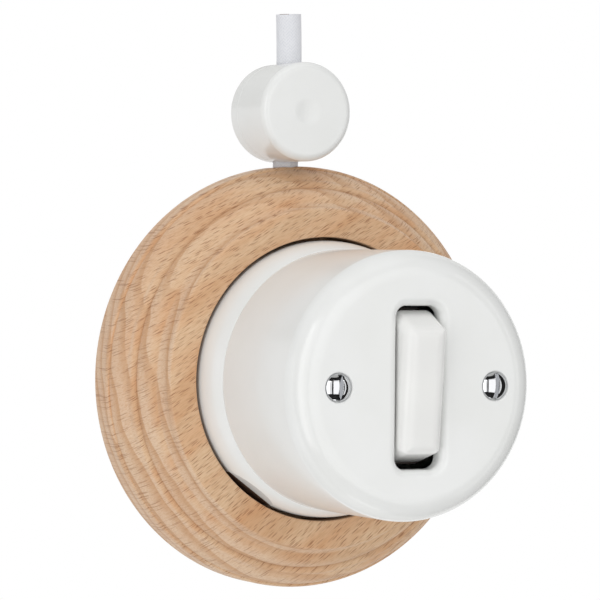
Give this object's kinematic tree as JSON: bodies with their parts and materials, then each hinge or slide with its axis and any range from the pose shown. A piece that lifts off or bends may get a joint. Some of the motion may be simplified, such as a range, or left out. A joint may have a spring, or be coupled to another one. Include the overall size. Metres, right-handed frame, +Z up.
{
  "type": "porcelain light switch",
  "caption": "Surface-mounted porcelain rocker light switch on a turned wooden base, with a textile cord led through a small porcelain cord holder above it.",
  "frame": {"origin": "centre of the wooden base's back face, which lies on the wall", "axes": "+Z up the wall, +Y into the wall, so that the switch faces -Y, and +X to the right seen from the front"},
  "size_m": [0.1, 0.07, 0.1363],
  "materials": {
    "beech": "oiled, open grain",
    "porcelain": "glossy white glaze",
    "rocker_plastic": "smooth moulded",
    "chrome": "polished plating",
    "brass": "plain",
    "moulding": "moulded thermoset",
    "steel": "plain",
    "contact_silver": "plain contact alloy",
    "textile": "white woven sheath",
    "brown_insulation": "smooth",
    "blue_insulation": "smooth",
    "copper": "bare wire"
  },
  "bodies": {
    "housing": {"wooden_base": "beech", "porcelain_base": "porcelain", "porcelain_cover": "porcelain", "cover_screws": "chrome", "cover_pillars": "brass", "pillar_screws": "steel", "frame_screws": "steel", "base_screws": "steel", "mechanism_frame": "moulding", "pivot_pin": "steel", "common_terminal": "brass", "upper_terminal": "brass", "lower_terminal": "brass", "fixed_tips": "contact_silver", "terminal_screws": "steel", "knob_base": "porcelain", "knob_cap": "porcelain", "cord": "textile", "brown_core": "brown_insulation", "blue_core": "blue_insulation", "copper_ends": "copper"},
    "rocker": {"rocker": "rocker_plastic", "plunger_spring": "steel"},
    "plunger": {"plunger": "brass"},
    "seesaw": {"seesaw_contact": "brass", "moving_tips": "contact_silver"}
  },
  "joints": [
    {"name": "rocker_tilt", "type": "hinge", "parent": "housing", "child": "rocker", "pos_m": [0, -0.0596, 0], "axis": [-1, 0, 0], "range_deg": [0, 11.2]},
    {"name": "seesaw_tilt", "type": "hinge", "parent": "housing", "child": "seesaw", "pos_m": [0, -0.04184, 0], "axis": [-1, 0, 0], "range_deg": [-11.2, 0]},
    {"name": "plunger_slide", "type": "slide", "parent": "rocker", "child": "plunger", "axis": [0, -0.9952, -0.0976], "range_m": [0, 0.001], "stiffness_N_per_m": 300, "springref_m": -0.004, "deforming": ["plunger_spring"]}
  ],
  "couplings": [
    {"joint": "seesaw_tilt", "follows": "rocker_tilt", "ratio": -1}
  ]
}
